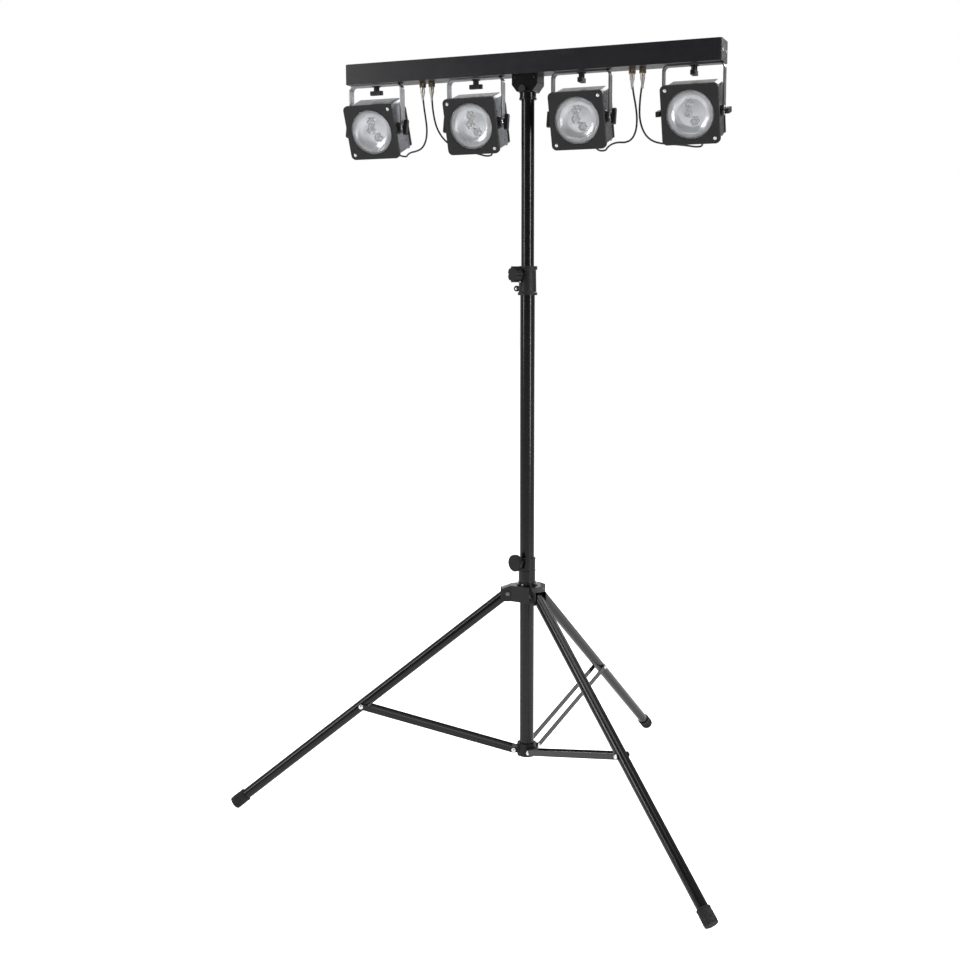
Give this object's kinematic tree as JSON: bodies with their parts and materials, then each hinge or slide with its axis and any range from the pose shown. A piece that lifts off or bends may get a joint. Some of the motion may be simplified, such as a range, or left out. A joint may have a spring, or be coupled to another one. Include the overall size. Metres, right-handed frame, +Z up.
{
  "type": "stage light bar on a tripod stand",
  "caption": "Crossbar of square-fronted LED par heads on yokes, carried by a telescopic mast on a folding three-legged stand.",
  "frame": {"origin": "on the floor, on the mast's axis", "axes": "+X along the crossbar, -Y the way the heads face, +Z up the mast"},
  "size_m": [1.4647, 1.389, 2.098],
  "materials": {
    "mast_black": "satin black powder coat",
    "bar_black": "semi-gloss black enamel",
    "black_plastic": "moulded matt black",
    "knob_plastic": "moulded matt black with fine grain",
    "rubber_black": "matt rubber",
    "zinc": "zinc-plated steel",
    "yoke_grey": "satin grey paint",
    "housing_grey": "satin grey die-cast aluminium",
    "bezel_black": "moulded black with fine grain",
    "lens_clear": "clear glass",
    "nickel": "plated brass",
    "board_green": "solder-masked circuit board",
    "cable_rubber": "soft black cable jacket"
  },
  "bodies": {
    "hub": {"hub_spider": "mast_black", "hub_sleeve": "mast_black", "leg_pivot_bolts": "zinc"},
    "hub_knob": {"hub_knob": "knob_plastic"},
    "leg_1": {"leg_1": "mast_black", "foot_1": "rubber_black"},
    "leg_2": {"leg_2": "mast_black", "foot_2": "rubber_black"},
    "leg_3": {"leg_3": "mast_black", "foot_3": "rubber_black"},
    "brace_1": {"brace_1": "mast_black"},
    "brace_2": {"brace_2": "mast_black"},
    "brace_3": {"brace_3": "mast_black"},
    "mast": {"lower_tube": "mast_black", "foot_collar": "black_plastic", "mast_clamp": "black_plastic"},
    "mast_clamp_knob": {"mast_clamp_knob": "knob_plastic"},
    "upper_mast": {"upper_tube": "mast_black"},
    "crossbar": {"bar_shell": "bar_black", "bar_rear_panel": "bar_black", "bar_end_caps": "black_plastic", "pole_socket": "bar_black", "cable_connectors": "nickel", "power_supply": "zinc", "control_board": "board_green", "mains_sockets": "black_plastic", "signal_sockets": "black_plastic", "head_1_cable": "cable_rubber", "head_2_cable": "cable_rubber", "head_3_cable": "cable_rubber", "head_4_cable": "cable_rubber"},
    "socket_screw": {"socket_screw": "knob_plastic"},
    "menu_button_1": {"menu_button_1": "black_plastic"},
    "menu_button_2": {"menu_button_2": "black_plastic"},
    "menu_button_3": {"menu_button_3": "black_plastic"},
    "menu_button_4": {"menu_button_4": "black_plastic"},
    "yoke_1": {"head_1_yoke": "yoke_grey"},
    "top_knob_1": {"head_1_top_knob": "knob_plastic"},
    "head_1": {"head_1_bezel": "bezel_black", "head_1_lens": "lens_clear", "head_1_housing": "housing_grey"},
    "tilt_knobs_1": {"head_1_tilt_knobs": "knob_plastic"},
    "yoke_2": {"head_2_yoke": "yoke_grey"},
    "top_knob_2": {"head_2_top_knob": "knob_plastic"},
    "head_2": {"head_2_bezel": "bezel_black", "head_2_lens": "lens_clear", "head_2_housing": "housing_grey"},
    "tilt_knobs_2": {"head_2_tilt_knobs": "knob_plastic"},
    "yoke_3": {"head_3_yoke": "yoke_grey"},
    "top_knob_3": {"head_3_top_knob": "knob_plastic"},
    "head_3": {"head_3_bezel": "bezel_black", "head_3_lens": "lens_clear", "head_3_housing": "housing_grey"},
    "tilt_knobs_3": {"head_3_tilt_knobs": "knob_plastic"},
    "yoke_4": {"head_4_yoke": "yoke_grey"},
    "top_knob_4": {"head_4_top_knob": "knob_plastic"},
    "head_4": {"head_4_bezel": "bezel_black", "head_4_lens": "lens_clear", "head_4_housing": "housing_grey"},
    "tilt_knobs_4": {"head_4_tilt_knobs": "knob_plastic"}
  },
  "joints": [
    {"name": "fold", "type": "slide", "parent": "hub", "child": "mast", "axis": [0, 0, -1], "range_m": [0, 0.5248]},
    {"name": "leg_1_fold", "type": "hinge", "parent": "hub", "child": "leg_1", "pos_m": [-0.05095, -0.01935, 0.636], "axis": [0.3551, -0.9348, 0], "range_deg": [0, 49.23]},
    {"name": "leg_2_fold", "type": "hinge", "parent": "hub", "child": "leg_2", "pos_m": [0.04223, -0.03445, 0.636], "axis": [0.632, 0.7749, 0], "range_deg": [0, 49.23]},
    {"name": "leg_3_fold", "type": "hinge", "parent": "hub", "child": "leg_3", "pos_m": [0.00871, 0.0538, 0.636], "axis": [-0.9871, 0.1599, 0], "range_deg": [0, 49.23]},
    {"name": "brace_1_fold", "type": "hinge", "parent": "mast", "child": "brace_1", "pos_m": [-0.03496, -0.01328, 0.181], "axis": [-0.3551, 0.9348, 0], "range_deg": [0, 68.85]},
    {"name": "brace_2_fold", "type": "hinge", "parent": "mast", "child": "brace_2", "pos_m": [0.02898, -0.02364, 0.181], "axis": [-0.632, -0.7749, 0], "range_deg": [0, 68.85]},
    {"name": "brace_3_fold", "type": "hinge", "parent": "mast", "child": "brace_3", "pos_m": [0.00598, 0.03692, 0.181], "axis": [0.9871, -0.1599, 0], "range_deg": [0, 68.85]},
    {"name": "hub_knob_turn", "type": "hinge", "parent": "hub", "child": "hub_knob", "pos_m": [-0.01986, -0.04072, 0.726], "axis": [-0.4384, -0.8988, 0], "range_deg": [0, 360]},
    {"name": "mast_clamp_knob_turn", "type": "hinge", "parent": "mast", "child": "mast_clamp_knob", "pos_m": [-0.02351, -0.03236, 1.519], "axis": [-0.5878, -0.809, 0], "range_deg": [0, 360]},
    {"name": "telescope", "type": "slide", "parent": "mast", "child": "upper_mast", "axis": [0, 0, 1], "range_m": [-0.4, 0]},
    {"name": "bar_swivel", "type": "hinge", "parent": "upper_mast", "child": "crossbar", "pos_m": [0, 0, 2], "axis": [0, 0, 1], "continuous": true},
    {"name": "socket_screw_turn", "type": "hinge", "parent": "crossbar", "child": "socket_screw", "pos_m": [-0.00331, -0.03785, 2.004], "axis": [-0.0872, -0.9962, 0], "range_deg": [0, 360]},
    {"name": "menu_button_1_press", "type": "slide", "parent": "crossbar", "child": "menu_button_1", "axis": [0, -1, 0], "range_m": [0, 0.0008], "stiffness_N_per_m": 400, "springref_m": -0.0004},
    {"name": "menu_button_2_press", "type": "slide", "parent": "crossbar", "child": "menu_button_2", "axis": [0, -1, 0], "range_m": [0, 0.0008], "stiffness_N_per_m": 400, "springref_m": -0.0004},
    {"name": "menu_button_3_press", "type": "slide", "parent": "crossbar", "child": "menu_button_3", "axis": [0, -1, 0], "range_m": [0, 0.0008], "stiffness_N_per_m": 400, "springref_m": -0.0004},
    {"name": "menu_button_4_press", "type": "slide", "parent": "crossbar", "child": "menu_button_4", "axis": [0, -1, 0], "range_m": [0, 0.0008], "stiffness_N_per_m": 400, "springref_m": -0.0004},
    {"name": "yoke_1_swivel", "type": "hinge", "parent": "crossbar", "child": "yoke_1", "pos_m": [-0.4485, 0, 2.041], "axis": [0, 0, 1], "range_deg": [-90, 90]},
    {"name": "top_knob_1_turn", "type": "hinge", "parent": "yoke_1", "child": "top_knob_1", "pos_m": [-0.4485, 0, 2.03], "axis": [0, 0, -1], "range_deg": [0, 360]},
    {"name": "head_1_tilt", "type": "hinge", "parent": "yoke_1", "child": "head_1", "pos_m": [-0.4485, 0, 1.925], "axis": [1, 0, 0], "range_deg": [-45, 69], "deforming": ["head_1_cable"]},
    {"name": "tilt_knobs_1_turn", "type": "hinge", "parent": "head_1", "child": "tilt_knobs_1", "pos_m": [-0.4485, 0, 1.925], "axis": [1, 0, 0], "range_deg": [0, 360]},
    {"name": "yoke_2_swivel", "type": "hinge", "parent": "crossbar", "child": "yoke_2", "pos_m": [-0.1495, 0, 2.041], "axis": [0, 0, 1], "range_deg": [-90, 90]},
    {"name": "top_knob_2_turn", "type": "hinge", "parent": "yoke_2", "child": "top_knob_2", "pos_m": [-0.1495, 0, 2.03], "axis": [0, 0, -1], "range_deg": [0, 360]},
    {"name": "head_2_tilt", "type": "hinge", "parent": "yoke_2", "child": "head_2", "pos_m": [-0.1495, 0, 1.925], "axis": [1, 0, 0], "range_deg": [-45, 72.5], "deforming": ["head_2_cable"]},
    {"name": "tilt_knobs_2_turn", "type": "hinge", "parent": "head_2", "child": "tilt_knobs_2", "pos_m": [-0.1495, 0, 1.925], "axis": [1, 0, 0], "range_deg": [0, 360]},
    {"name": "yoke_3_swivel", "type": "hinge", "parent": "crossbar", "child": "yoke_3", "pos_m": [0.1495, 0, 2.041], "axis": [0, 0, 1], "range_deg": [-90, 90]},
    {"name": "top_knob_3_turn", "type": "hinge", "parent": "yoke_3", "child": "top_knob_3", "pos_m": [0.1495, 0, 2.03], "axis": [0, 0, -1], "range_deg": [0, 360]},
    {"name": "head_3_tilt", "type": "hinge", "parent": "yoke_3", "child": "head_3", "pos_m": [0.1495, 0, 1.925], "axis": [1, 0, 0], "range_deg": [-45, 73], "deforming": ["head_3_cable"]},
    {"name": "tilt_knobs_3_turn", "type": "hinge", "parent": "head_3", "child": "tilt_knobs_3", "pos_m": [0.1495, 0, 1.925], "axis": [1, 0, 0], "range_deg": [0, 360]},
    {"name": "yoke_4_swivel", "type": "hinge", "parent": "crossbar", "child": "yoke_4", "pos_m": [0.4485, 0, 2.041], "axis": [0, 0, 1], "range_deg": [-90, 90]},
    {"name": "top_knob_4_turn", "type": "hinge", "parent": "yoke_4", "child": "top_knob_4", "pos_m": [0.4485, 0, 2.03], "axis": [0, 0, -1], "range_deg": [0, 360]},
    {"name": "head_4_tilt", "type": "hinge", "parent": "yoke_4", "child": "head_4", "pos_m": [0.4485, 0, 1.925], "axis": [1, 0, 0], "range_deg": [-45, 73.5], "deforming": ["head_4_cable"]},
    {"name": "tilt_knobs_4_turn", "type": "hinge", "parent": "head_4", "child": "tilt_knobs_4", "pos_m": [0.4485, 0, 1.925], "axis": [1, 0, 0], "range_deg": [0, 360]}
  ],
  "couplings": [
    {"joint": "leg_1_fold", "follows": "fold", "rad_per_m": 1.6336},
    {"joint": "leg_2_fold", "follows": "fold", "rad_per_m": 1.6336},
    {"joint": "leg_3_fold", "follows": "fold", "rad_per_m": 1.6336},
    {"joint": "brace_1_fold", "follows": "fold", "rad_per_m": 2.2862},
    {"joint": "brace_2_fold", "follows": "fold", "rad_per_m": 2.2862},
    {"joint": "brace_3_fold", "follows": "fold", "rad_per_m": 2.2862}
  ]
}
